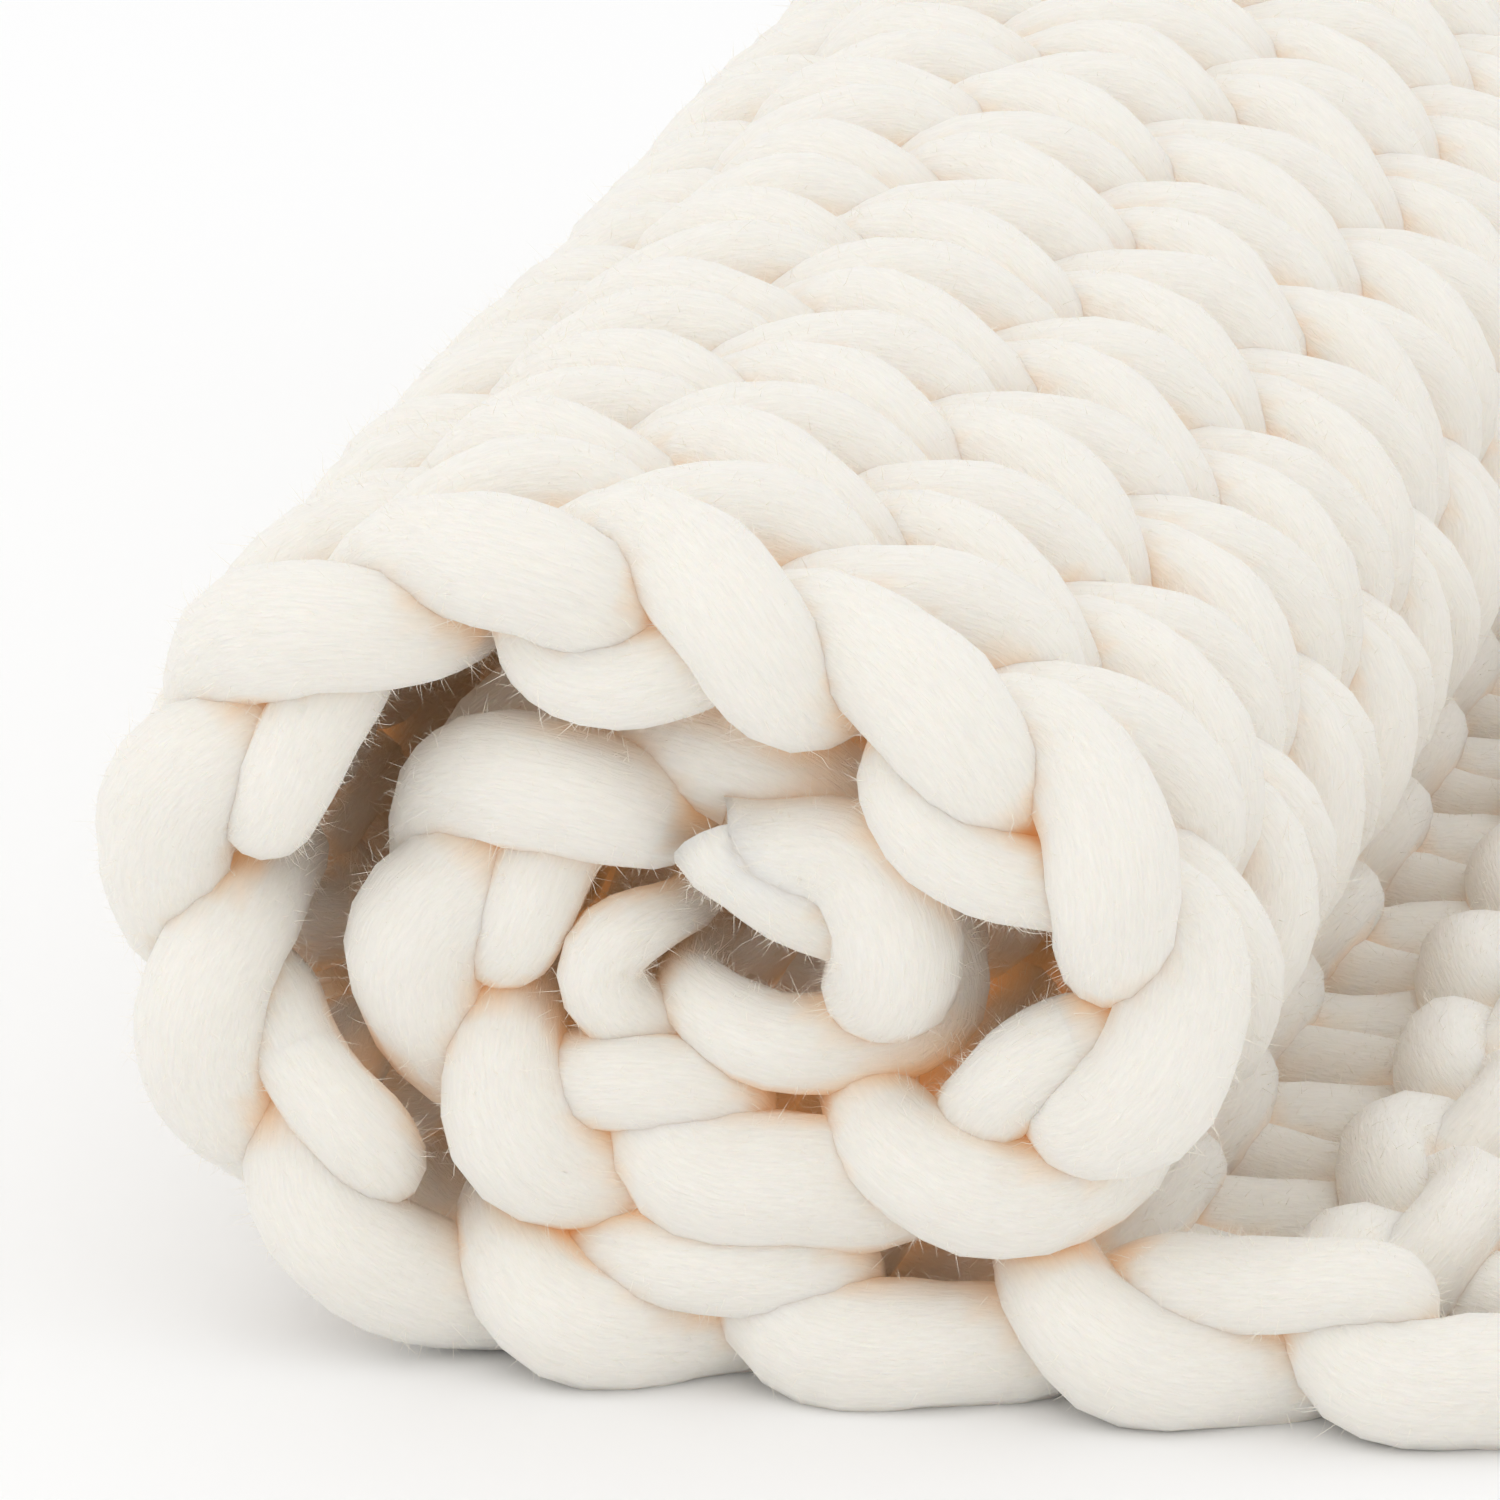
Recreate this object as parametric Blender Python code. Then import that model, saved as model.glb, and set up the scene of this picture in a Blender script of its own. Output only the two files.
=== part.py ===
"""Chunky knit blanket, lying rolled up from one end with its loose end flat on the floor.

The blanket is one solid. Its thickness follows a spiral path in the XZ plane, from the loose end on
the floor, round the roll, to the end inside it, and its width runs along Y, the roll's axis. Lengths
are in metres, +Z is up and the floor is Z = 0. Stitches are left out: each wale of the knit, a column
of stitches, shows as one soft rib.
"""

from collections import namedtuple

import bmesh
import bpy
import numpy as np

# The cloth
WALES = 14
WALE_WIDTH = 0.067
CLOTH_WIDTH = WALES * WALE_WIDTH

# The flat run on the floor, from the loose end to where the roll lifts off, measured along X from
# the roll's middle, which stands at ROLL_X
LOOSE_END_X = 0.330
LIFT_OFF_X = -0.022
ROLL_X = -0.1047
FLAT_THICKNESS = 0.034
FLAT_STEPS = 6

# The curled part: points on the cloth's middle surface, and the cloth's thickness there
Station = namedtuple("Station", "x z thickness")
CURL = (
    Station(LIFT_OFF_X, 0.015, 0.030),
    Station(-0.063, 0.026, 0.032),
    Station(-0.087, 0.058, 0.038),
    Station(-0.099, 0.106, 0.044),
    Station(-0.080, 0.149, 0.042),
    Station(-0.030, 0.170, 0.040),
    Station(0.022, 0.162, 0.041),
    Station(0.072, 0.136, 0.044),
    Station(0.104, 0.092, 0.044),
    Station(0.086, 0.058, 0.034),
    Station(0.032, 0.0475, 0.027),
    Station(-0.022, 0.050, 0.027),
    Station(-0.048, 0.083, 0.036),
    Station(-0.039, 0.115, 0.038),
    Station(-0.004, 0.1255, 0.035),
    Station(0.034, 0.114, 0.031),
    Station(0.054, 0.089, 0.028),
    Station(0.039, 0.0735, 0.020),
    Station(0.014, 0.0725, 0.017),
    Station(-0.009, 0.0755, 0.016),
    Station(-0.0195, 0.0865, 0.0155),
    Station(-0.008, 0.0965, 0.0155),
    Station(0.008, 0.0945, 0.0155),
)
CURL_STEPS = 66

# The edges and the ribs
EDGE_ROUNDING = 0.017
EDGE_STEPS = 3
TIP_ROUNDING = 0.014
TIP_STEPS = (0.0, 0.12, 0.35, 0.65)
LEAST_TIP_SHARE = 0.30
RIB_DEPTH = 0.0016

# How far the spiral's turns slide along the axis, and how much the roll sags in its middle
SLIDE = 0.008
SLIDE_WAVES = 1.4
SAG = 0.005
SAG_FROM_Z = 0.034
TOP_Z = 0.190
LIFT_LENGTH = 0.100

YARN_COLOUR = (0.89, 0.85, 0.77, 1.0)
YARN_ROUGHNESS = 0.95

MATERIAL_NAME = "yarn"
PART_NAME = "blanket"


def clear_scene():
    for item in list(bpy.data.objects):
        bpy.data.objects.remove(item, do_unlink=True)


def spline(knots, values, first_slope, at):
    """A cubic spline through the values, with a set slope at the first and no bend at the last."""
    gaps = np.diff(knots)
    rises = np.diff(values) / gaps
    count = len(knots)
    system = np.zeros((count, count))
    wanted = np.zeros(count)
    system[0, :2] = 2 * gaps[0], gaps[0]
    wanted[0] = 6 * (rises[0] - first_slope)
    system[-1, -1] = 1.0
    for row in range(1, count - 1):
        system[row, row - 1 : row + 2] = gaps[row - 1], 2 * (gaps[row - 1] + gaps[row]), gaps[row]
        wanted[row] = 6 * (rises[row] - rises[row - 1])
    bends = np.linalg.solve(system, wanted)
    span = np.clip(np.searchsorted(knots, at, side="right") - 1, 0, count - 2)
    gap = gaps[span]
    after = at - knots[span]
    before = gap - after
    return (
        (bends[span] * before**3 + bends[span + 1] * after**3) / (6 * gap)
        + (values[span] / gap - bends[span] * gap / 6) * before
        + (values[span + 1] / gap - bends[span + 1] * gap / 6) * after
    )


def middle_path():
    """Points of the cloth's middle surface from the loose end inwards, and its thickness at each."""
    tip_run = TIP_ROUNDING * np.array(TIP_STEPS)
    flat_run = np.linspace(LOOSE_END_X - TIP_ROUNDING, LIFT_OFF_X, FLAT_STEPS + 1)[:-1]
    flat_x = np.concatenate([LOOSE_END_X - tip_run, flat_run])
    flat_share = (LOOSE_END_X - flat_x) / (LOOSE_END_X - LIFT_OFF_X)
    flat_thickness = FLAT_THICKNESS + (CURL[0].thickness - FLAT_THICKNESS) * flat_share
    stations = np.array(CURL)
    steps = np.linalg.norm(np.diff(stations[:, :2], axis=0), axis=1)
    knots = np.concatenate([[0.0], np.cumsum(steps)])
    at = np.linspace(0.0, knots[-1] - TIP_ROUNDING, CURL_STEPS)
    at = np.concatenate([at, knots[-1] - tip_run[::-1]])
    curl_x = spline(knots, stations[:, 0], -1.0, at)
    curl_z = spline(knots, stations[:, 1], 0.0, at)
    curl_thickness = np.interp(at, knots, stations[:, 2])
    x = np.concatenate([flat_x, curl_x])
    z = np.concatenate([flat_thickness / 2, curl_z])
    return x, z, np.concatenate([flat_thickness, curl_thickness])


def outward(x, z):
    """Unit normals of the path that point away from the roll's middle, down to the floor at the flat."""
    along_x = np.gradient(x)
    along_z = np.gradient(z)
    length = np.hypot(along_x, along_z)
    return -along_z / length, along_x / length


def ring_profile():
    """The cloth's outline across its width: places along Y, and heights from -1 inside to 1 outside."""
    flat_half = CLOTH_WIDTH / 2 - EDGE_ROUNDING
    across = np.linspace(-flat_half, flat_half, 2 * WALES + 1)
    turn = np.linspace(np.pi / 2, -np.pi / 2, EDGE_STEPS + 2)[1:-1]
    beyond = flat_half + EDGE_ROUNDING * np.cos(turn)
    outer = np.ones(len(across))
    places = np.concatenate([across, beyond, across[::-1], -beyond])
    heights = np.concatenate([outer, np.sin(turn), -outer, -np.sin(turn)])
    return places, heights


def tip_share(run):
    """The share of the thickness left near the cloth's two ends, which are rounded off."""
    from_end = np.clip(np.minimum(run, run[-1] - run) / TIP_ROUNDING, 0.0, 1.0)
    return np.maximum(np.sqrt(1 - (1 - from_end) ** 2), LEAST_TIP_SHARE)


def blanket_points():
    """One ring of points round the cloth for each step of the path."""
    x, z, thickness = middle_path()
    normal_x, normal_z = outward(x, z)
    run = np.concatenate([[0.0], np.cumsum(np.hypot(np.diff(x), np.diff(z)))])
    lift_off = run[FLAT_STEPS + len(TIP_STEPS)]
    lifted = np.clip((run - lift_off) / LIFT_LENGTH, 0.0, 1.0)
    slide = SLIDE * np.sin(2 * np.pi * SLIDE_WAVES * run / run[-1]) * lifted
    places, heights = ring_profile()
    rib = RIB_DEPTH * (1 + np.cos(2 * np.pi * places / WALE_WIDTH)) / 2 * heights
    rib = rib[None, :] * np.where(heights[None, :] > 0, lifted[:, None], 1.0)
    reach = (thickness * tip_share(run) / 2)[:, None] * heights[None, :] - rib
    high = np.clip((z - SAG_FROM_Z) / (TOP_Z - SAG_FROM_Z), 0.0, 1.0)
    sag = SAG * high[:, None] * (1 - (2 * places[None, :] / CLOTH_WIDTH) ** 2)
    return np.stack(
        [
            ROLL_X + x[:, None] + normal_x[:, None] * reach,
            places[None, :] + slide[:, None],
            z[:, None] + normal_z[:, None] * reach - sag,
        ],
        axis=2,
    )


def end_faces(first, ring):
    """Strips across one end ring, from its outer points to its inner ones, and its two edges."""
    across = 2 * WALES + 1
    inner = first + across + EDGE_STEPS
    last_inner = inner + across - 1
    strips = [
        (first + place, first + place + 1, last_inner - place - 1, last_inner - place)
        for place in range(across - 1)
    ]
    right = tuple(range(first + across - 1, inner + 1))
    left = tuple(range(last_inner, first + ring)) + (first,)
    return strips + [right, left]


def blanket_faces(rows, ring):
    """Quads between neighbouring rings, and the faces that close the two end rings."""
    faces = end_faces(0, ring) + end_faces((rows - 1) * ring, ring)
    for row in range(rows - 1):
        for place in range(ring):
            after = (place + 1) % ring
            low = row * ring
            high = low + ring
            faces.append((low + place, low + after, high + after, high + place))
    return faces


def yarn_material():
    material = bpy.data.materials.new(MATERIAL_NAME)
    material.use_nodes = True
    surface = material.node_tree.nodes["Principled BSDF"]
    surface.inputs["Base Color"].default_value = YARN_COLOUR
    surface.inputs["Roughness"].default_value = YARN_ROUGHNESS
    surface.inputs["Metallic"].default_value = 0.0
    return material


def build_blanket():
    points = blanket_points()
    rows, ring, _ = points.shape
    mesh = bpy.data.meshes.new(PART_NAME)
    mesh.from_pydata(points.reshape(-1, 3).tolist(), [], blanket_faces(rows, ring))
    shape = bmesh.new()
    shape.from_mesh(mesh)
    bmesh.ops.recalc_face_normals(shape, faces=shape.faces)
    shape.to_mesh(mesh)
    shape.free()
    mesh.shade_smooth()
    mesh.materials.append(yarn_material())
    blanket = bpy.data.objects.new(PART_NAME, mesh)
    bpy.context.scene.collection.objects.link(blanket)


clear_scene()
build_blanket()
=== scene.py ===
"""The chunky knit blanket, stitch by stitch: one thick yarn knitted back and forth in stockinette.

The yarn's path is worked out on the flat cloth, as places across the wales, along the courses and
through the thickness, and then carried onto the spiral in which the blanket lies. Lengths are metres.
"""

from collections import namedtuple

import bpy
import numpy as np
from mathutils import Matrix, Vector
from mathutils.kdtree import KDTree


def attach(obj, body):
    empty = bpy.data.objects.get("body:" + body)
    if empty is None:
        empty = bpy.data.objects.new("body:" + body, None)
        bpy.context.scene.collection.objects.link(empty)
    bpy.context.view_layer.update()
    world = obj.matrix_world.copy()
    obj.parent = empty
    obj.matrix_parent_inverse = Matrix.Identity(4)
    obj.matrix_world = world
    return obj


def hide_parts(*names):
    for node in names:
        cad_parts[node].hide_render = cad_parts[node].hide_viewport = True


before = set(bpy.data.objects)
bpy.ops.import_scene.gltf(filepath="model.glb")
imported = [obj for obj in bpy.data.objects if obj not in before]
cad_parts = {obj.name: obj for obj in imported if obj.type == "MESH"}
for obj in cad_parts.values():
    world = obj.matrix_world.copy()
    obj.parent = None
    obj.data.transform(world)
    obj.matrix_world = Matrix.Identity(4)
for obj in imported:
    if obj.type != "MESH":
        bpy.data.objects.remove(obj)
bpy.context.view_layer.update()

rng = np.random.default_rng(11)

# The cloth, as in the solid
WALES = 14
WALE = 0.067
CLOTH_WIDTH = WALES * WALE
LOOSE_END_X = 0.330
LIFT_OFF_X = -0.022
ROLL_X = -0.1047
FLAT_THICKNESS = 0.034
Station = namedtuple("Station", "x z thickness")
CURL = (
    Station(LIFT_OFF_X, 0.015, 0.030),
    Station(-0.063, 0.026, 0.032),
    Station(-0.087, 0.058, 0.038),
    Station(-0.099, 0.106, 0.044),
    Station(-0.080, 0.149, 0.042),
    Station(-0.030, 0.170, 0.040),
    Station(0.022, 0.162, 0.041),
    Station(0.072, 0.136, 0.044),
    Station(0.104, 0.092, 0.044),
    Station(0.086, 0.058, 0.034),
    Station(0.032, 0.0475, 0.027),
    Station(-0.022, 0.050, 0.027),
    Station(-0.048, 0.083, 0.036),
    Station(-0.039, 0.115, 0.038),
    Station(-0.004, 0.1255, 0.035),
    Station(0.034, 0.114, 0.031),
    Station(0.054, 0.089, 0.028),
    Station(0.039, 0.0735, 0.020),
    Station(0.014, 0.0725, 0.017),
    Station(-0.009, 0.0755, 0.016),
    Station(-0.0195, 0.0865, 0.0155),
    Station(-0.008, 0.0965, 0.0155),
    Station(0.008, 0.0945, 0.0155),
)
SLIDE = 0.008
SLIDE_WAVES = 1.4
SAG = 0.005
SAG_FROM_Z = 0.034
TOP_Z = 0.190
LIFT_LENGTH = 0.100
PATH_STEPS = 1200
FLAT_PATH_STEPS = 400

# The stitches, and how unevenly they lie
FLAT_COURSE = 0.058
ROLLED_COURSE = 0.0455
FIRST_COURSE = 0.040
LAST_MARGIN = 0.010
LOOP_HALF_HEIGHT = 0.038
STRETCHED_LOOP_SHARE = 0.5
LEAN = 0.20
UNEVEN_ACROSS = 0.0024
UNEVEN_ALONG = 0.0028
UNEVEN_LEG = 0.07
MOST_UNEVEN_LEG = 0.14
YARN_RADIUS = 0.0122
SQUEEZED_SHARE = 0.80
PLUMP_SHARE = 1.14
PLUMP_POWER = 1.27
MOST_RADIUS_SHARE = 0.50
SWING_RADIUS_SHARE = 0.92
LOOP_STEPS = 20
FINER = 2
RING_STEPS = 14
FINAL_SMOOTHS = 3
Lump = namedtuple("Lump", "length turns depth")
LUMPS = (
    Lump(0.043, 1, 0.030),
    Lump(0.029, -2, 0.022),
    Lump(0.017, 3, 0.014),
    Lump(0.091, 0, 0.030),
)

# The cloth's two side edges; the angles are those of knit_yarn, 2 pi to a loop
EDGE_START = 0.30
EDGE_FROM = 0.6 * np.pi
EDGE_FADE = 0.5 * np.pi
EDGE_FRONT_SHARE = 0.35
EDGE_BULGE = 0.008
TURN_STEPS = 6
TURN_REACH = 0.006
TURN_ALONG = 0.004
TURN_SINK = 0.001

# How the strands push each other apart
APART = 5
RELAX_STEPS = 48
PAIR_STEPS = 8
PAIR_REACH = 2.3 * YARN_RADIUS
LEAST_GAP = 1e-5
LEAST_SPAN = 1e-6
SOFT_SHARE = 0.82
PUSH = 0.7
MOST_PUSHES = 2.0
STRETCH = 0.3
STIFFNESS = 0.12
HOME = 0.03

# The grid that tells how crowded a place is, and the painted crevice shade and painted glow that come
# from it
CELL = 0.003
GRID_MARGIN = 0.040
NEAR_BLUR = 2
WIDE_BLUR = 4
NEAR_OFF = 0.007
WIDE_OFF = 0.012
SHADE_FROM = 0.38
SHADE_TO = 0.80
HALF_FULL = 0.5

# The yarn's look
IVORY = (0.94, 0.905, 0.835, 1.0)
# painted shade: the warm tan that the crevices between strands take on where less light falls
PAINTED_CREVICE_SHADE = (0.86, 0.58, 0.33, 1.0)
# painted glow: warm light given off in the crevices, though the yarn is no lamp
PAINTED_CREVICE_GLOW = (0.16, 0.085, 0.035, 1.0)
STREAKS_ALONG = 260.0
STREAKS_ROUND = 1300.0
STREAK_BUMP = 0.5
STREAK_DEPTH = 0.0012
KNIT_PIECES = 3

# The hair: its lengths are a median, the spread of the logarithm, the least and the most. Past
# NEAR_LENGTH from the roll's near end only FAR_SHARE of it stands
Lengths = namedtuple("Lengths", "median spread least most")
SHORT_HAIRS = 390000
SHORT_LENGTHS = Lengths(0.0034, 0.4, 0.0015, 0.009)
SHORT_WIDTH = 0.00016
SHORT_CLEAR = 0.0035
SHORT_RISE = 0.75
SHORT_LEAN = (0.0, 1.1)
SHORT_STRAY = 0.35
LONG_HAIRS = 16000
LONG_LENGTHS = Lengths(0.0085, 0.35, 0.004, 0.020)
LONG_WIDTH = 0.00017
LONG_CLEAR = 0.0045
LONG_FIRST_RISE = 0.8
LONG_LEAN = (0.5, 2.0)
LONG_STRAY = 0.4
LONG_STEPS = 5
LONG_CRIMP = 0.45
LONG_RISE = 0.05
NEAR_LENGTH = 0.30
FAR_SHARE = 0.5
ROOT_DEPTH = 0.0006
ROOT_TRIES = 3
PIECE_LIMIT = 190000
HAIR_COLOUR = (0.94, 0.89, 0.80, 1.0)

# The camera stands at this azimuth and height over the roll's near end, which it sees this far off
AZIMUTH = np.radians(12.0)
ELEVATION = np.radians(16.5)
DISTANCE = 2.04
LENS = 244.6
SENSOR = 36.0
FARTHEST = 50.0
FACE_MIDDLE_Z = 0.095
AIM_RIGHT = 0.020
AIM_UP = 0.040

# The studio
FLOOR_COLOUR = (0.95, 0.95, 0.95, 1.0)
FLOOR_HALF = 12.0
WINDOW_SIZE = 1.6
WINDOW_POWER = 6.0
WINDOW_PLACE = Vector((-1.2, -1.2, 2.2))
WINDOW_AIM = Vector((0, -0.2, 0.1))


def spline(knots, values, first_slope, at):
    """A cubic spline through the values, with a set slope at the first and no bend at the last."""
    gaps = np.diff(knots)
    rises = np.diff(values) / gaps
    count = len(knots)
    system = np.zeros((count, count))
    wanted = np.zeros(count)
    system[0, :2] = 2 * gaps[0], gaps[0]
    wanted[0] = 6 * (rises[0] - first_slope)
    system[-1, -1] = 1.0
    for row in range(1, count - 1):
        system[row, row - 1 : row + 2] = gaps[row - 1], 2 * (gaps[row - 1] + gaps[row]), gaps[row]
        wanted[row] = 6 * (rises[row] - rises[row - 1])
    bends = np.linalg.solve(system, wanted)
    span = np.clip(np.searchsorted(knots, at, side="right") - 1, 0, count - 2)
    gap = gaps[span]
    after = at - knots[span]
    before = gap - after
    return (
        (bends[span] * before**3 + bends[span + 1] * after**3) / (6 * gap)
        + (values[span] / gap - bends[span] * gap / 6) * before
        + (values[span + 1] / gap - bends[span + 1] * gap / 6) * after
    )


def make_path():
    """The cloth's middle surface, as a table over the run from the loose end inwards."""
    stations = np.array(CURL)
    knots = np.concatenate([[0.0], np.cumsum(np.hypot(*np.diff(stations[:, :2], axis=0).T))])
    at = np.linspace(0.0, knots[-1], PATH_STEPS)
    flat_x = np.linspace(LOOSE_END_X, LIFT_OFF_X, FLAT_PATH_STEPS)[:-1]
    share = (LOOSE_END_X - flat_x) / (LOOSE_END_X - LIFT_OFF_X)
    flat_thickness = FLAT_THICKNESS + (CURL[0].thickness - FLAT_THICKNESS) * share
    x = np.concatenate([flat_x, spline(knots, stations[:, 0], -1.0, at)])
    z = np.concatenate([flat_thickness / 2, spline(knots, stations[:, 1], 0.0, at)])
    thickness = np.concatenate([flat_thickness, np.interp(at, knots, stations[:, 2])])
    run = np.concatenate([[0.0], np.cumsum(np.hypot(np.diff(x), np.diff(z)))])
    slope_x = np.gradient(x, run)
    slope_z = np.gradient(z, run)
    length = np.hypot(slope_x, slope_z)
    normal = np.stack([-slope_z / length, slope_x / length], axis=1)
    return run, x, z, thickness, normal, flat_x.size


RUN, PATH_X, PATH_Z, PATH_T, PATH_N, FLAT_COUNT = make_path()
RUN_END = RUN[-1]
RUN_LIFT = RUN[FLAT_COUNT]


def thickness_at(v):
    return np.interp(v, RUN, PATH_T)


def on_roll(u, v, n):
    """Carries a place on the cloth, u across, v along and n out of its V side, onto the roll.

    Also gives the direction in which the V side faces there.
    """
    inside = np.clip(v, 0.0, RUN_END)
    x = np.interp(inside, RUN, PATH_X)
    z = np.interp(inside, RUN, PATH_Z)
    normal_x = np.interp(inside, RUN, PATH_N[:, 0])
    normal_z = np.interp(inside, RUN, PATH_N[:, 1])
    length = np.hypot(normal_x, normal_z)
    normal_x, normal_z = normal_x / length, normal_z / length
    beyond = v - inside
    x = x + normal_z * beyond
    z = z - normal_x * beyond
    lifted = np.clip((inside - RUN_LIFT) / LIFT_LENGTH, 0.0, 1.0)
    slide = SLIDE * np.sin(2 * np.pi * SLIDE_WAVES * inside / RUN_END) * lifted
    y = u - CLOTH_WIDTH / 2
    high = np.clip((z - SAG_FROM_Z) / (TOP_Z - SAG_FROM_Z), 0.0, 1.0)
    sag = SAG * high * (1 - (2 * y / CLOTH_WIDTH) ** 2)
    place = np.stack([ROLL_X + x + normal_x * n, y + slide, z + normal_z * n - sag], axis=-1)
    normal = np.stack([normal_x, np.zeros_like(normal_x), normal_z], axis=-1)
    return place, normal


def leg_angle(t):
    """How far up its leg the yarn is at angle t of its loops: 0 at a foot, pi at a head."""
    return np.arccos(np.clip(np.cos(t), -1.0, 1.0))


def course_places():
    """Where along the cloth each course lies: wider apart on the flat, closer on the roll."""
    places = [FIRST_COURSE]
    while places[-1] < RUN_END - LAST_MARGIN:
        share = np.clip((places[-1] - RUN_LIFT) / LIFT_LENGTH, 0.0, 1.0)
        places.append(places[-1] + FLAT_COURSE + (ROLLED_COURSE - FLAT_COURSE) * share)
    return places[:-1]


def knit_yarn():
    """The yarn's middle line on the flat cloth, course by course: u, v, n and radius in one table."""
    middles = course_places()
    courses = len(middles)
    head_u = rng.normal(0.0, UNEVEN_ACROSS, (courses, WALES))
    head_v = rng.normal(0.0, UNEVEN_ALONG, (courses, WALES))
    foot_u = rng.normal(0.0, UNEVEN_ACROSS, (courses, WALES + 1))
    foot_v = rng.normal(0.0, UNEVEN_ALONG, (courses, WALES + 1))
    uneven = rng.normal(0.0, UNEVEN_LEG, (courses, 2 * WALES))
    leg_radius = 1 + np.clip(uneven, -MOST_UNEVEN_LEG, MOST_UNEVEN_LEG)
    last_t = 2 * np.pi * WALES
    t = np.linspace(EDGE_START, last_t - EDGE_START, WALES * LOOP_STEPS)
    wale = np.clip((t / (2 * np.pi)).astype(int), 0, WALES - 1)
    leg = np.clip((t / np.pi).astype(int), 0, 2 * WALES - 1)
    foot = np.clip(np.rint(t / (2 * np.pi)).astype(int), 0, WALES)
    up = (1 - np.cos(t)) / 2
    climb = leg_angle(t)
    plump = np.sin(np.pi * (climb / np.pi) ** PLUMP_POWER) ** 2
    from_side = np.minimum(t, last_t - t)
    edge = np.clip(1 - (from_side - EDGE_FROM) / EDGE_FADE, 0.0, 1.0)
    to_side = np.where(t < last_t / 2, -1.0, 1.0)
    bulge = to_side * edge * np.sin(climb) ** 2 * EDGE_BULGE
    gaps = np.diff(middles + [middles[-1] + ROLLED_COURSE])
    rows = []
    for course in range(courses):
        stretch = gaps[course] / ROLLED_COURSE - 1
        half_height = LOOP_HALF_HEIGHT * (1 + STRETCHED_LOOP_SHARE * stretch)
        u = WALE * t / (2 * np.pi) + LEAN * WALE * np.sin(2 * t)
        u = u + head_u[course][wale] * up + foot_u[course][foot] * (1 - up)
        v = middles[course] - half_height * np.cos(t)
        v = v + head_v[course][wale] * up + foot_v[course][foot] * (1 - up)
        thick = thickness_at(np.clip(v, 0.0, RUN_END))
        share = SQUEEZED_SHARE + (PLUMP_SHARE - SQUEEZED_SHARE) * plump * leg_radius[course][leg]
        radius = np.minimum(YARN_RADIUS, MOST_RADIUS_SHARE * thick) * share
        swing = np.maximum(thick / 2 - radius * SWING_RADIUS_SHARE, 0.0)
        front = -np.cos(2 * t) * swing
        n = front * (1 - edge) + edge * np.minimum(front, EDGE_FRONT_SHARE * swing)
        rows.append(np.stack([u + bulge, v, n, radius], axis=1))
    return joined(rows)


def joined(rows):
    """The courses as one line of yarn, which runs there and back, with a turn at an edge after each."""
    line = []
    for number, row in enumerate(rows):
        line.append(row[::-1] if number % 2 else row)
        if number + 1 < len(rows):
            after = rows[number + 1] if number % 2 else rows[number + 1][::-1]
            line.append(edge_turn(line[-1][-1], after[0], -1.0 if number % 2 else 1.0))
    return np.concatenate(line)


def edge_turn(start, end, side):
    """The yarn's turn at an edge, from the end of one course to the start of the next."""
    s = np.linspace(0.0, 1.0, TURN_STEPS + 2)[1:-1, None]
    leave = start + np.array([side * TURN_REACH, -TURN_ALONG, -TURN_SINK, 0.0])
    arrive = end + np.array([side * TURN_REACH, TURN_ALONG, -TURN_SINK, 0.0])
    return (1 - s) ** 3 * start + 3 * (1 - s) ** 2 * s * leave + 3 * (1 - s) * s**2 * arrive + s**3 * end


def near_pairs(place, reach):
    """Pairs of yarn points within reach of each other that aren't close neighbours along the yarn."""
    tree = KDTree(len(place))
    for number, point in enumerate(place):
        tree.insert(point, number)
    tree.balance()
    first = []
    second = []
    for number, point in enumerate(place):
        for _, other, _ in tree.find_range(point, reach):
            if other > number + APART:
                first.append(number)
                second.append(other)
    return np.array(first), np.array(second)


def relax(start, radius):
    """Lets the strands push each other apart, as soft strands do, while each keeps near its place."""
    place = start.copy()
    rest = np.linalg.norm(np.diff(start, axis=0), axis=1)
    for step in range(RELAX_STEPS):
        if step % PAIR_STEPS == 0:
            first, second = near_pairs(place, PAIR_REACH)
        gap = place[first] - place[second]
        distance = np.maximum(np.linalg.norm(gap, axis=1), LEAST_GAP)
        over = SOFT_SHARE * (radius[first] + radius[second]) - distance
        hit = over > 0
        push = gap[hit] * (over[hit] / 2 / distance[hit])[:, None]
        moved = np.zeros_like(place)
        hits = np.zeros(len(place))
        np.add.at(moved, first[hit], push)
        np.add.at(moved, second[hit], -push)
        np.add.at(hits, first[hit], 1.0)
        np.add.at(hits, second[hit], 1.0)
        moved = PUSH * moved / np.maximum(hits, 1.0)[:, None]
        place += moved * np.minimum(hits, MOST_PUSHES)[:, None]
        span = np.diff(place, axis=0)
        length = np.linalg.norm(span, axis=1)
        fix = span * (STRETCH * (length - rest) / np.maximum(length, LEAST_SPAN))[:, None]
        place[:-1] += fix
        place[1:] -= fix
        middle = (place[:-2] + place[2:]) / 2
        place[1:-1] += STIFFNESS * (middle - place[1:-1])
        place += HOME * (start - place)
        place[:, 2] = np.maximum(place[:, 2], radius * SOFT_SHARE)
    return place


def finer(values, factor):
    """The values with factor times as many rows, along a smooth curve through them."""
    count = len(values)
    at = np.arange((count - 1) * factor + 1) / factor
    i = np.minimum(at.astype(int), count - 2)
    f = (at - i)[:, None]
    p0 = values[np.maximum(i - 1, 0)]
    p1 = values[i]
    p2 = values[i + 1]
    p3 = values[np.minimum(i + 2, count - 1)]
    return 0.5 * (
        2 * p1
        + (p2 - p0) * f
        + (2 * p0 - 5 * p1 + 4 * p2 - p3) * f**2
        + (3 * p1 - p0 - 3 * p2 + p3) * f**3
    )


def carried_frames(along, start):
    """Two directions across the yarn at each step, carried along it without twisting."""
    up = Vector(start)
    ups = []
    for way in along:
        way = Vector(way)
        up = (up - way * up.dot(way)).normalized()
        ups.append(up)
    ups = np.array(ups)
    return np.cross(along, ups), ups


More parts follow.
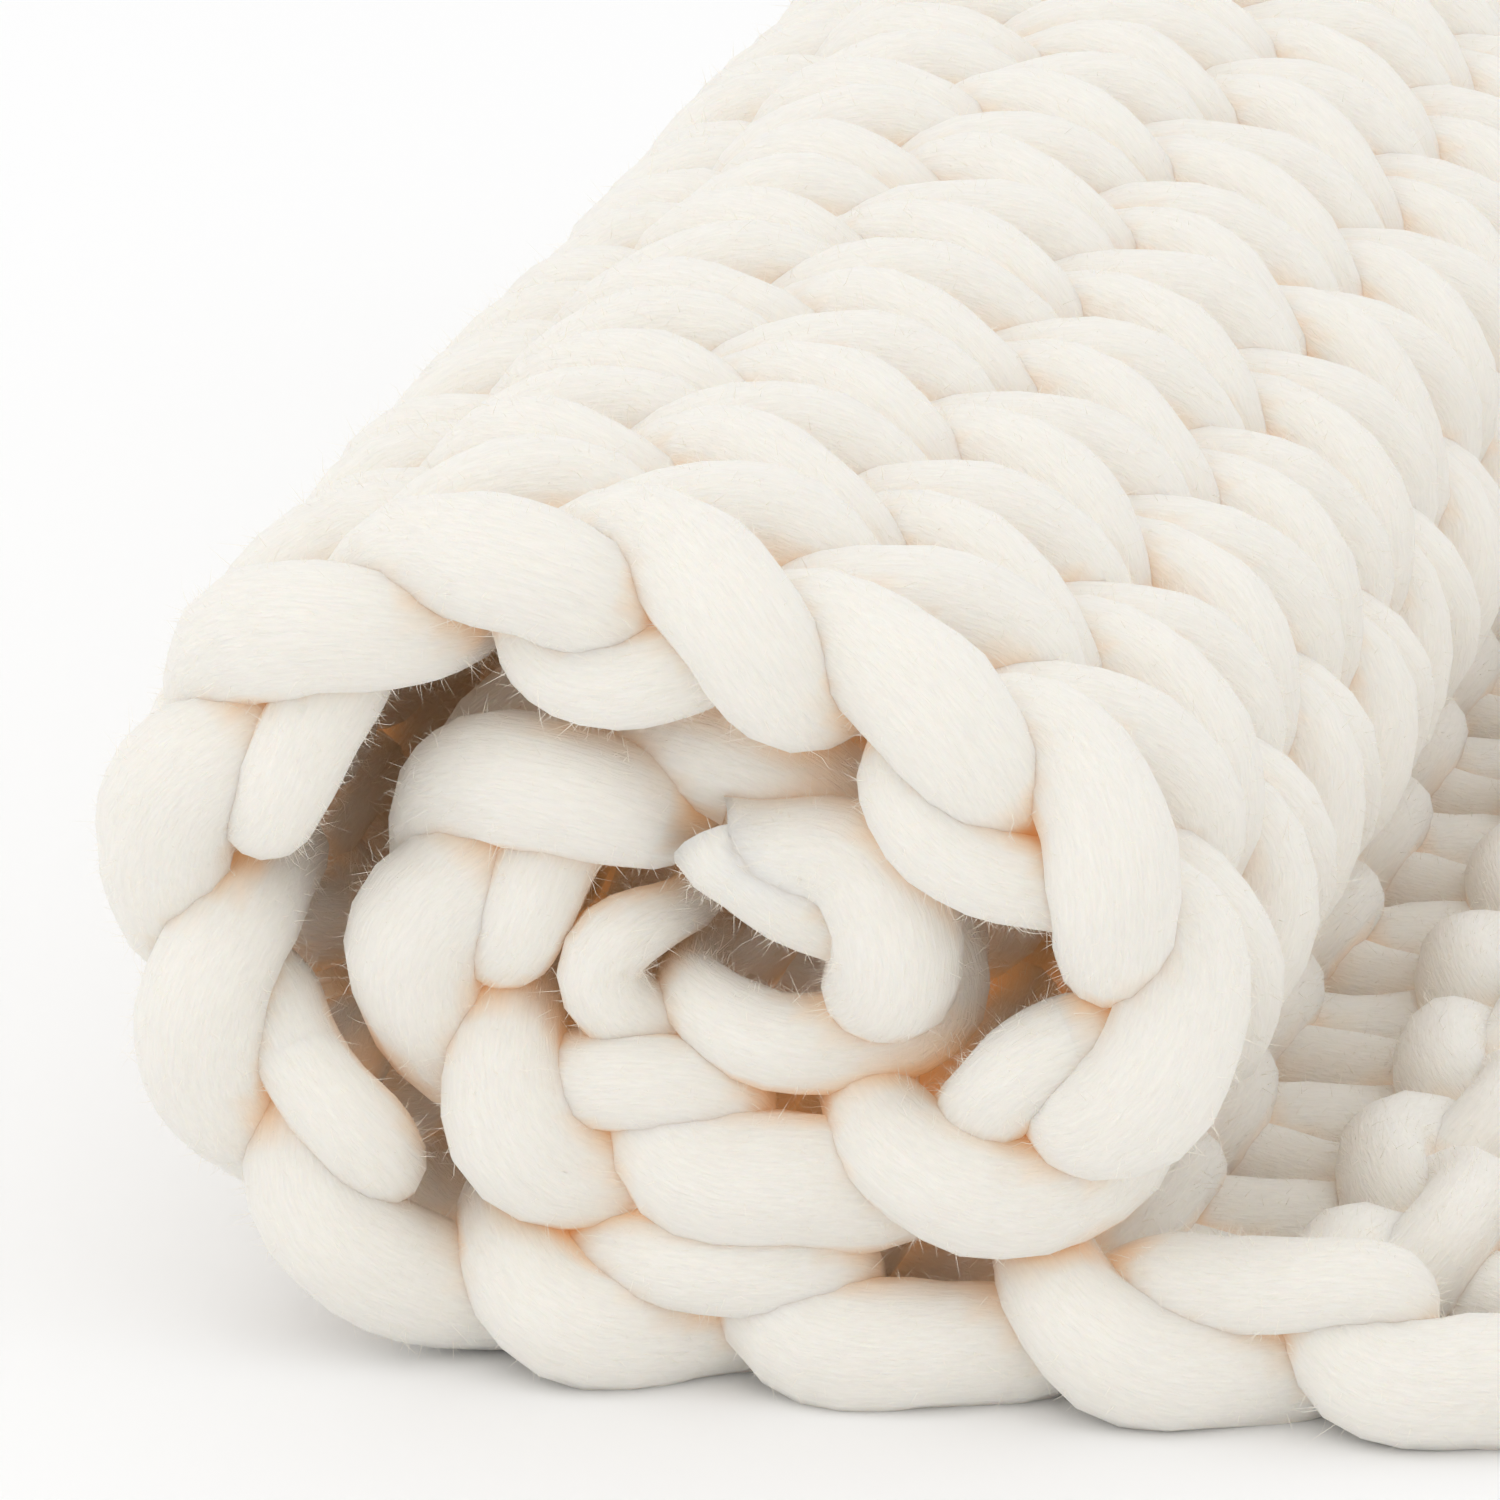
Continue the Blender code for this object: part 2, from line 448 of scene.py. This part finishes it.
def yarn_surface(line):
    """Rings of points round the yarn, with the ring's outward directions and the yarn's own direction."""
    place, cloth_normal = on_roll(line[:, 0], line[:, 1], line[:, 2])
    place = relax(place, line[:, 3])
    both = finer(np.concatenate([place, cloth_normal, line[:, 3:]], axis=1), FINER)
    place, cloth_normal, radius = both[:, :3], both[:, 3:6], both[:, 6]
    for _ in range(FINAL_SMOOTHS):
        place[1:-1] = place[1:-1] / 2 + (place[:-2] + place[2:]) / 4
    along = np.gradient(place, axis=0)
    along /= np.linalg.norm(along, axis=1, keepdims=True)
    side, up = carried_frames(along, cloth_normal[0])
    run = np.concatenate([[0.0], np.cumsum(np.linalg.norm(np.diff(place, axis=0), axis=1))])
    angle = np.linspace(0.0, 2 * np.pi, RING_STEPS, endpoint=False)
    cos, sin = np.cos(angle)[None, :, None], np.sin(angle)[None, :, None]
    out = cos * side[:, None, :] + sin * up[:, None, :]
    lumps = np.ones((len(run), RING_STEPS))
    for lump in LUMPS:
        phase = rng.uniform(0.0, 2 * np.pi)
        turn = 2 * np.pi * run[:, None] / lump.length + lump.turns * angle[None, :] + phase
        lumps += lump.depth * np.sin(turn)
    skin = place[:, None, :] + out * (radius[:, None] * lumps)[:, :, None]
    return skin, out, along, run, angle, place, radius


class Crowd:
    """How full of yarn the space is, on a grid of small cells."""

    def __init__(self, place, radius):
        self.low = place.min(axis=0) - GRID_MARGIN
        size = np.ceil((place.max(axis=0) + GRID_MARGIN - self.low) / CELL).astype(int)
        full = np.zeros(size, dtype=np.float32)
        reach = int(np.ceil(radius.max() / CELL))
        steps = np.arange(-reach, reach + 1)
        ball = np.stack(np.meshgrid(steps, steps, steps, indexing="ij"), axis=-1).reshape(-1, 3)
        ball = ball[np.linalg.norm(ball, axis=1) <= reach]
        home = np.rint((place - self.low) / CELL).astype(int)
        for shift in ball:
            cell = home + shift
            away = np.linalg.norm(self.low + cell * CELL - place, axis=1)
            cell = cell[away <= radius]
            full[cell[:, 0], cell[:, 1], cell[:, 2]] = 1.0
        self.full = full
        self.near = self.blurred(NEAR_BLUR)
        self.wide = self.blurred(WIDE_BLUR)

    def blurred(self, cells):
        found = self.full
        for axis in range(3):
            for _ in range(2):
                sums = np.cumsum(found, axis=axis)
                ahead = np.roll(sums, -cells, axis=axis)
                behind = np.roll(sums, cells + 1, axis=axis)
                found = np.clip((ahead - behind) / (2 * cells + 1), 0.0, 1.0)
        return found

    def at(self, field, points):
        cell = np.rint((points - self.low) / CELL).astype(int)
        cell = np.clip(cell, 0, np.array(self.full.shape) - 1)
        return field[cell[..., 0], cell[..., 1], cell[..., 2]]


def tube_faces(count):
    """Quads between neighbouring rings of the yarn."""
    i = np.arange(count - 1)[:, None] * RING_STEPS
    j = np.arange(RING_STEPS)[None, :]
    k = (j + 1) % RING_STEPS
    quads = np.stack([i + j, i + RING_STEPS + j, i + RING_STEPS + k, i + k], axis=-1)
    return quads.reshape(-1, 4)


def mesh_object(name, points, faces, material):
    mesh = bpy.data.meshes.new(name)
    mesh.vertices.add(len(points))
    mesh.vertices.foreach_set("co", points.astype(np.float32).ravel())
    size = faces.shape[1]
    mesh.loops.add(faces.size)
    mesh.loops.foreach_set("vertex_index", faces.astype(np.int32).ravel())
    mesh.polygons.add(len(faces))
    mesh.polygons.foreach_set("loop_start", np.arange(0, faces.size, size, dtype=np.int32))
    mesh.update(calc_edges=True)
    mesh.validate()
    mesh.shade_smooth()
    mesh.materials.append(material)
    item = bpy.data.objects.new(name, mesh)
    bpy.context.scene.collection.objects.link(item)
    return item


def noise_range(nodes, links, value, low, high):
    """A node that spreads a noise value between low and high."""
    spread = nodes.new("ShaderNodeMapRange")
    spread.inputs["To Min"].default_value = low
    spread.inputs["To Max"].default_value = high
    links.new(value, spread.inputs["Value"])
    return spread


def attribute_node(nodes, name):
    node = nodes.new("ShaderNodeAttribute")
    node.attribute_name = name
    return node


def add_fibre_detail(material):
    """Streaks, speckle, and painted crevice shade and glow from the mesh's own attributes."""
    nodes = material.node_tree.nodes
    links = material.node_tree.links
    surface = nodes["Principled BSDF"]
    streaks = nodes.new("ShaderNodeTexNoise")
    streaks.inputs["Scale"].default_value = 1.0
    streaks.inputs["Detail"].default_value = 5.0
    streaks.inputs["Roughness"].default_value = 0.62
    streaks.inputs["Distortion"].default_value = 0.25
    links.new(attribute_node(nodes, "fibre").outputs["Vector"], streaks.inputs["Vector"])
    shade = attribute_node(nodes, "shade").outputs["Fac"]
    # painted shade: the ivory turns to a warm tan by the shade attribute, where the yarn lies in crowded
    # crevices
    painted_shade_mix = nodes.new("ShaderNodeMix")
    painted_shade_mix.data_type = "RGBA"
    painted_shade_mix.inputs["A"].default_value = IVORY
    painted_shade_mix.inputs["B"].default_value = PAINTED_CREVICE_SHADE
    links.new(shade, painted_shade_mix.inputs["Factor"])
    vary = noise_range(nodes, links, streaks.outputs["Fac"], 0.93, 1.0)
    vary.inputs["From Min"].default_value = 0.3
    vary.inputs["From Max"].default_value = 0.7
    colour = nodes.new("ShaderNodeMix")
    colour.data_type = "RGBA"
    colour.blend_type = "MULTIPLY"
    colour.inputs["Factor"].default_value = 1.0
    links.new(painted_shade_mix.outputs["Result"], colour.inputs["A"])
    links.new(vary.outputs["Result"], colour.inputs["B"])
    links.new(colour.outputs["Result"], surface.inputs["Base Color"])
    rough = noise_range(nodes, links, streaks.outputs["Fac"], 0.82, 1.0)
    links.new(rough.outputs["Result"], surface.inputs["Roughness"])
    # painted glow: the crevices give off a faint warm light by the shade attribute, though the yarn is no
    # lamp
    links.new(shade, surface.inputs["Emission Strength"])
    surface.inputs["Emission Color"].default_value = PAINTED_CREVICE_GLOW
    bump = nodes.new("ShaderNodeBump")
    bump.inputs["Strength"].default_value = STREAK_BUMP
    bump.inputs["Distance"].default_value = STREAK_DEPTH
    links.new(streaks.outputs["Fac"], bump.inputs["Height"])
    links.new(bump.outputs["Normal"], surface.inputs["Normal"])


def roving():
    """Soft unspun wool."""
    material = bpy.data.materials.new("roving")
    material.use_nodes = True
    surface = material.node_tree.nodes["Principled BSDF"]
    surface.inputs["Sheen Weight"].default_value = 0.35
    surface.inputs["Sheen Roughness"].default_value = 0.6
    surface.inputs["Specular IOR Level"].default_value = 0.2
    surface.inputs["Subsurface Weight"].default_value = 0.25
    surface.inputs["Subsurface Radius"].default_value = (1.0, 0.7, 0.45)
    surface.inputs["Subsurface Scale"].default_value = 0.006
    add_fibre_detail(material)
    return material


def add_attribute(piece, name, values):
    kind, field = ("FLOAT_VECTOR", "vector") if values.ndim == 2 else ("FLOAT", "value")
    layer = piece.data.attributes.new(name, kind, "POINT")
    layer.data.foreach_set(field, values.astype(np.float32).ravel())


def adopt(piece):
    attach(piece, "root")
    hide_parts("blanket")


def build_cloth():
    material = roving()
    skin, out, along, run, angle, place, radius = yarn_surface(knit_yarn())
    crowd = Crowd(place, radius)
    near = crowd.at(crowd.near, skin + out * NEAR_OFF)
    wide = crowd.at(crowd.wide, skin + out * WIDE_OFF)
    # painted shade mask: high where the space just outside the yarn is crowded, in crevices; it darkens
    # those places and makes them glow
    shade = np.clip(((near + wide) / 2 - SHADE_FROM) / (SHADE_TO - SHADE_FROM), 0.0, 1.0)
    fibre = np.stack(
        [
            np.repeat(run[:, None] * STREAKS_ALONG, RING_STEPS, axis=1),
            np.cos(angle)[None, :] * radius[:, None] * STREAKS_ROUND,
            np.sin(angle)[None, :] * radius[:, None] * STREAKS_ROUND,
        ],
        axis=-1,
    )
    cuts = np.linspace(0, len(skin) - 1, KNIT_PIECES + 1).astype(int)
    for number in range(KNIT_PIECES):
        part = slice(cuts[number], cuts[number + 1] + 1)
        rows = skin[part]
        points = rows.reshape(-1, 3)
        piece = mesh_object(f"knit_{number + 1}", points, tube_faces(len(rows)), material)
        add_attribute(piece, "fibre", fibre[part].reshape(-1, 3))
        add_attribute(piece, "shade", shade[part].ravel())
        adopt(piece)
    build_hair(skin, out, along, crowd)


def hair_roots(count, skin, out, along, crowd, clear):
    """Random open places on the yarn: the place, its outward direction and the yarn's direction."""
    tries = count * ROOT_TRIES
    step = rng.integers(0, len(skin) - 1, tries)
    ring = rng.integers(0, RING_STEPS, tries)
    part = rng.uniform(0.0, 1.0, (tries, 1))
    turn = rng.uniform(0.0, 1.0, (tries, 1))
    after = (ring + 1) % RING_STEPS
    low = skin[step, ring] * (1 - turn) + skin[step, after] * turn
    high = skin[step + 1, ring] * (1 - turn) + skin[step + 1, after] * turn
    root = low * (1 - part) + high * part
    normal = out[step, ring] * (1 - turn) + out[step, after] * turn
    normal /= np.linalg.norm(normal, axis=1, keepdims=True)
    keep = crowd.at(crowd.full, root + normal * clear) < HALF_FULL
    keep &= crowd.at(crowd.full, root + normal * clear * 2) < HALF_FULL
    keep &= root[:, 2] + normal[:, 2] * clear > 0.0
    far_off = root[:, 1] > NEAR_LENGTH - CLOTH_WIDTH / 2
    keep &= ~far_off | (rng.uniform(0.0, 1.0, tries) < FAR_SHARE)
    chosen = np.flatnonzero(keep)[:count]
    return root[chosen] - normal[chosen] * ROOT_DEPTH, normal[chosen], along[step[chosen]]


def unit(vectors):
    return vectors / np.linalg.norm(vectors, axis=-1, keepdims=True)


def hair_lengths(lengths, count):
    drawn = rng.lognormal(np.log(lengths.median), lengths.spread, (count, 1))
    return np.clip(drawn, lengths.least, lengths.most)


def short_hairs(roots, normal, way):
    """One thin triangle for each hair."""
    count = len(roots)
    length = hair_lengths(SHORT_LENGTHS, count)
    lean = rng.choice([-1.0, 1.0], (count, 1)) * rng.uniform(*SHORT_LEAN, (count, 1))
    ahead = unit(normal * SHORT_RISE + way * lean + rng.normal(0.0, SHORT_STRAY, (count, 3)))
    broad = unit(np.cross(ahead, rng.normal(0.0, 1.0, (count, 3)))) * SHORT_WIDTH / 2
    return np.stack([roots - broad, roots + broad, roots + ahead * length], axis=1)


def long_hairs(roots, normal, way):
    """A crimped ribbon of triangles for each hair, which narrows to its tip."""
    count = len(roots)
    length = hair_lengths(LONG_LENGTHS, count)
    lean = rng.choice([-1.0, 1.0], (count, 1)) * rng.uniform(*LONG_LEAN, (count, 1))
    ahead = unit(normal * LONG_FIRST_RISE + way * lean + rng.normal(0.0, LONG_STRAY, (count, 3)))
    broad = unit(np.cross(ahead, rng.normal(0.0, 1.0, (count, 3)))) * LONG_WIDTH / 2
    place = roots
    rows = [place - broad, place + broad]
    for step in range(1, LONG_STEPS + 1):
        place = place + ahead * length / LONG_STEPS
        share = 1 - step / LONG_STEPS
        if step < LONG_STEPS:
            rows += [place - broad * share, place + broad * share]
        ahead = unit(ahead + rng.normal(0.0, LONG_CRIMP, (count, 3)) + normal * LONG_RISE)
    rows.append(place)
    return np.stack(rows, axis=1)


def hair_pieces(name, points, faces, material):
    """The hairs as mesh objects, none of them over the limit of triangles."""
    pieces = int(np.ceil(len(points) * len(faces) / PIECE_LIMIT))
    cuts = np.linspace(0, len(points), pieces + 1).astype(int)
    for number in range(pieces):
        some = points[cuts[number] : cuts[number + 1]]
        index = (np.arange(len(some)) * points.shape[1])[:, None, None] + faces[None]
        corners = some.reshape(-1, 3)
        adopt(mesh_object(f"{name}_{number + 1}", corners, index.reshape(-1, 3), material))


def build_hair(skin, out, along, crowd):
    """Fine fibres that stand off the yarn wherever it is open to the air."""
    material = bpy.data.materials.new("fibre_hair")
    material.use_nodes = True
    surface = material.node_tree.nodes["Principled BSDF"]
    surface.inputs["Base Color"].default_value = HAIR_COLOUR
    surface.inputs["Roughness"].default_value = 0.9
    surface.inputs["Specular IOR Level"].default_value = 0.1
    short = short_hairs(*hair_roots(SHORT_HAIRS, skin, out, along, crowd, SHORT_CLEAR))
    hair_pieces("short_hair", short, np.array([[0, 1, 2]]), material)
    strays = long_hairs(*hair_roots(LONG_HAIRS, skin, out, along, crowd, LONG_CLEAR))
    faces = []
    for step in range(LONG_STEPS - 1):
        low, high = 2 * step, 2 * step + 2
        faces.append([low, low + 1, high + 1])
        faces.append([low, high + 1, high])
    last = 2 * LONG_STEPS - 2
    faces.append([last, last + 1, last + 2])
    hair_pieces("stray_hair", strays, np.array(faces), material)


def build_camera():
    back = Vector(
        (
            np.sin(AZIMUTH) * np.cos(ELEVATION),
            -np.cos(AZIMUTH) * np.cos(ELEVATION),
            np.sin(ELEVATION),
        )
    )
    right = Vector((np.cos(AZIMUTH), np.sin(AZIMUTH), 0.0))
    up = back.cross(right)
    face_middle = Vector((ROLL_X, -CLOTH_WIDTH / 2, FACE_MIDDLE_Z))
    aim = face_middle + right * AIM_RIGHT + up * AIM_UP
    data = bpy.data.cameras.new("camera")
    data.lens = LENS
    data.sensor_width = SENSOR
    data.clip_end = FARTHEST
    camera = bpy.data.objects.new("camera", data)
    turn = Matrix((right, up, back)).transposed().to_4x4()
    camera.matrix_world = Matrix.Translation(aim + back * DISTANCE) @ turn
    bpy.context.scene.collection.objects.link(camera)
    bpy.context.scene.camera = camera


def build_floor():
    material = bpy.data.materials.new("floor_paint")
    material.use_nodes = True
    surface = material.node_tree.nodes["Principled BSDF"]
    surface.inputs["Base Color"].default_value = FLOOR_COLOUR
    surface.inputs["Roughness"].default_value = 0.8
    corners = [(-1, -1), (1, -1), (1, 1), (-1, 1)]
    mesh = bpy.data.meshes.new("floor")
    mesh.from_pydata([(x * FLOOR_HALF, y * FLOOR_HALF, 0) for x, y in corners], [], [(0, 1, 2, 3)])
    mesh.materials.append(material)
    floor = bpy.data.objects.new("floor", mesh)
    bpy.context.scene.collection.objects.link(floor)


def build_light():
    """Even white light from all round, and a soft window from the upper left."""
    world = bpy.data.worlds.new("studio")
    world.use_nodes = True
    world.node_tree.nodes["Background"].inputs["Color"].default_value = (1.0, 1.0, 1.0, 1.0)
    world.node_tree.nodes["Background"].inputs["Strength"].default_value = 1.0
    bpy.context.scene.world = world
    data = bpy.data.lights.new("window", "AREA")
    data.shape = "RECTANGLE"
    data.size = WINDOW_SIZE
    data.size_y = WINDOW_SIZE
    data.energy = WINDOW_POWER
    lamp = bpy.data.objects.new("window", data)
    turn = (WINDOW_PLACE - WINDOW_AIM).to_track_quat("Z", "Y").to_matrix().to_4x4()
    lamp.matrix_world = Matrix.Translation(WINDOW_PLACE) @ turn
    bpy.context.scene.collection.objects.link(lamp)
    bpy.context.scene.view_settings.view_transform = "Standard"


build_cloth()
build_camera()
build_floor()
build_light()
